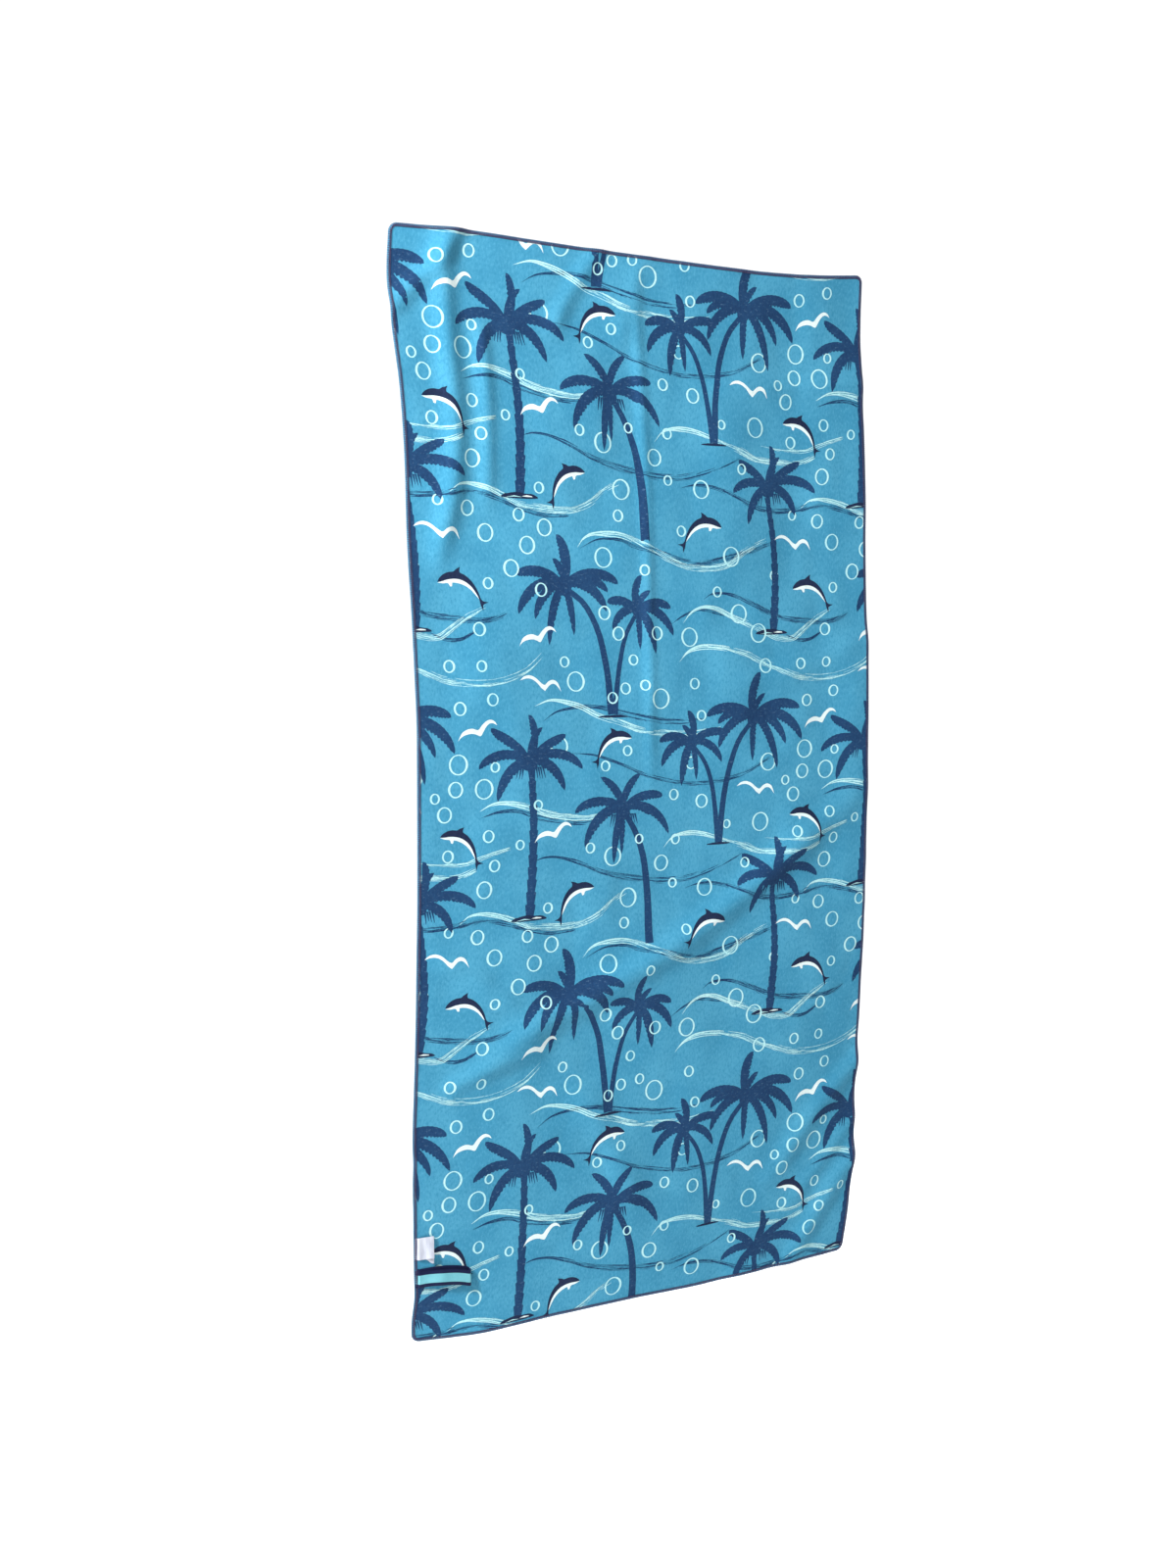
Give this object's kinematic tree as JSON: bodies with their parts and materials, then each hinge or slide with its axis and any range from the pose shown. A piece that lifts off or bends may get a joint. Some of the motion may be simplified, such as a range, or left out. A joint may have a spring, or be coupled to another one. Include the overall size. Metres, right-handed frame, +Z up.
{
  "type": "quick dry towel",
  "caption": "Large rectangular quick dry microfibre towel hanging flat, with an overlocked edge, a folded hanging loop and a care label sewn into one side seam.",
  "frame": {"origin": "middle of the straight line between the two top corners, where the hanging towel is held", "axes": "+Z up along the towel's length, +X to the right across its width, printed face towards -Y"},
  "size_m": [0.8186, 0.039, 1.6137],
  "materials": {
    "microfibre": "matt suede microfibre, turquoise, printed in navy and white",
    "seam_thread": "navy textured polyester thread",
    "webbing": "woven webbing, mint with navy edges",
    "label_ribbon": "white satin ribbon, slight gloss"
  },
  "bodies": {
    "towel": {"towel_cloth": "microfibre", "overlock_needle_thread": "seam_thread", "overlock_upper_looper_thread": "seam_thread", "overlock_lower_looper_thread": "seam_thread"},
    "loop": {"hanging_loop": "webbing"},
    "label": {"care_label_front_leaf": "label_ribbon", "care_label_rear_leaf": "label_ribbon"}
  },
  "joints": [
    {"name": "loop_hinge", "type": "hinge", "parent": "towel", "child": "loop", "pos_m": [-0.393, -0.0099, -1.497], "axis": [0, 0, -1], "range_deg": [0, 180]},
    {"name": "label_hinge", "type": "hinge", "parent": "towel", "child": "label", "pos_m": [-0.3942, -0.0123, -1.448], "axis": [0, 0, -1], "range_deg": [0, 180]}
  ]
}
